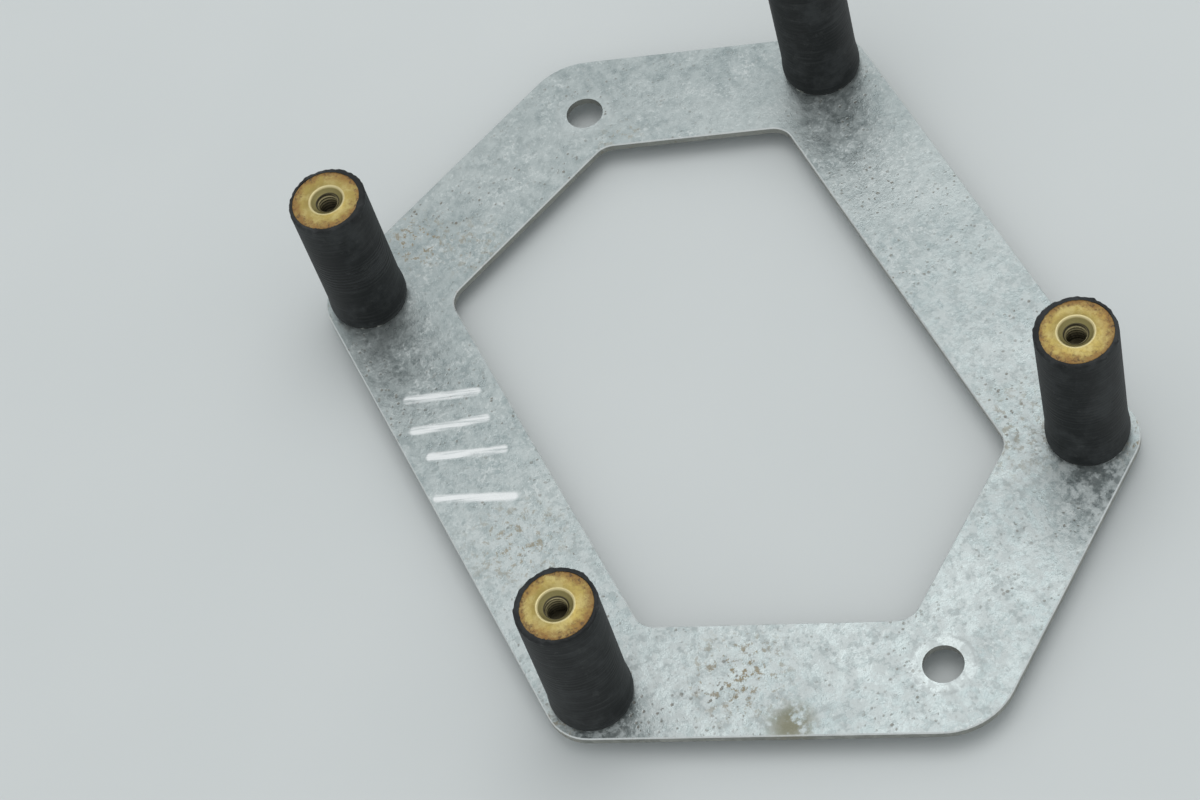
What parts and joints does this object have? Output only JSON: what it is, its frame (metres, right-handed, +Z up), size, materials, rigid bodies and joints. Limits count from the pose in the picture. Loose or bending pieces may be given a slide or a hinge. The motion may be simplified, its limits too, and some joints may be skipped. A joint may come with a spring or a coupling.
{
  "type": "motor mounting bracket",
  "caption": "Flat six-sided ring plate of zinc-plated steel with two fixing holes at its ends and rubber bobbin mounts with threaded end discs to carry a motor.",
  "frame": {"origin": "under the middle of the plate's length and width, in the plane of the bolt heads on which the bracket stands", "axes": "+Z up out of the plate along the bobbins; +X along the line of the two fixing holes; +Y across the plate, towards the fixing holes' side of the centre line"},
  "size_m": [0.234, 0.16, 0.0502],
  "materials": {
    "zinc_plate": "worn zinc plating, mottled, with oxide bloom and rust specks",
    "rubber": "dusty matt black rubber",
    "passivated_steel": "yellow passivated steel, stained brown at the edge",
    "zinc_fastener": "bright zinc plating"
  },
  "bodies": {
    "root": {"bracket_plate": "zinc_plate", "rubber_body_front_left": "rubber", "upper_insert_front_left": "passivated_steel", "lower_insert_front_left": "passivated_steel", "lock_washer_front_left": "zinc_fastener", "bolt_front_left": "zinc_fastener", "rubber_body_front_right": "rubber", "upper_insert_front_right": "passivated_steel", "lower_insert_front_right": "passivated_steel", "lock_washer_front_right": "zinc_fastener", "bolt_front_right": "zinc_fastener", "rubber_body_back_left": "rubber", "upper_insert_back_left": "passivated_steel", "lower_insert_back_left": "passivated_steel", "lock_washer_back_left": "zinc_fastener", "bolt_back_left": "zinc_fastener", "rubber_body_back_right": "rubber", "upper_insert_back_right": "passivated_steel", "lower_insert_back_right": "passivated_steel", "lock_washer_back_right": "zinc_fastener", "bolt_back_right": "zinc_fastener"}
  },
  "joints": []
}
